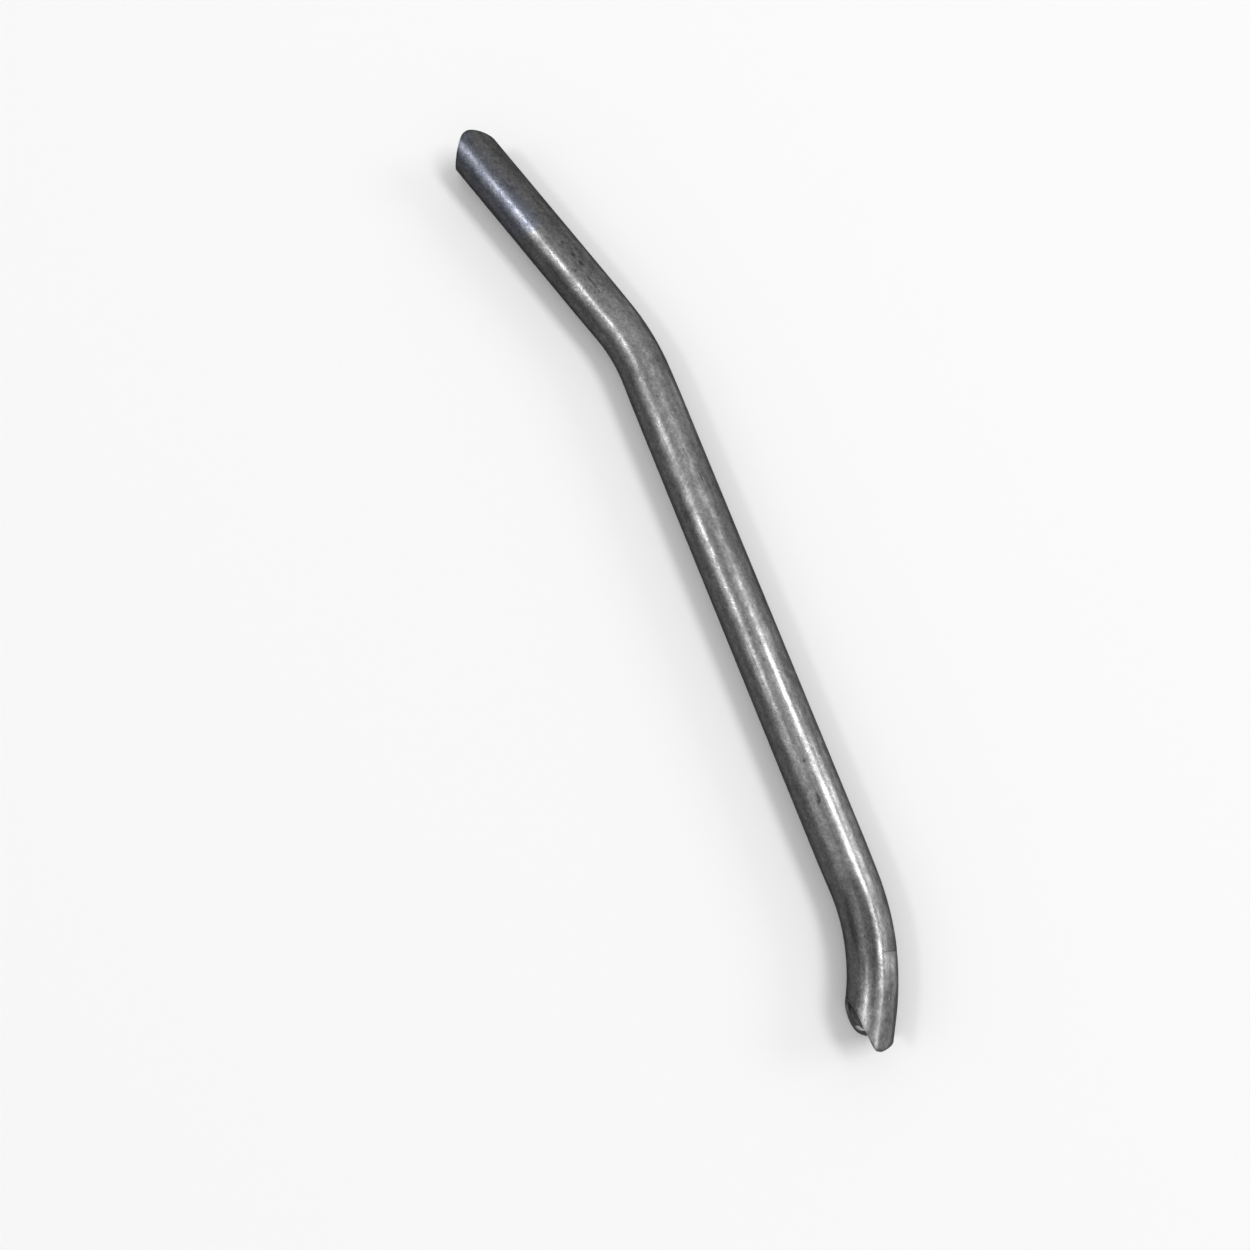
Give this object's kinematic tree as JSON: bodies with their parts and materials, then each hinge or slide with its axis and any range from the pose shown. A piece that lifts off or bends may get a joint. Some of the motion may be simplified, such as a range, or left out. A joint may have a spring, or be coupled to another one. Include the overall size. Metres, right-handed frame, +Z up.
{
  "type": "roll cage support",
  "caption": "Bent round steel tube with saddle-cut ends, to be welded as a support between two tubes of a roll cage.",
  "frame": {"origin": "on the ground, under the centre of the lying tube's outline", "axes": "+Y along the middle run towards the upper end, the end with the gentle bend; +Z up; both ends turn towards -X"},
  "size_m": [0.112, 0.8752, 0.0452],
  "materials": {
    "bare_steel": "bare drawn steel tube, satin, with fine lengthwise marks, small dark pits and a bluish tint at the upper end"
  },
  "bodies": {
    "root": {"cage_tube": "bare_steel"}
  },
  "joints": []
}
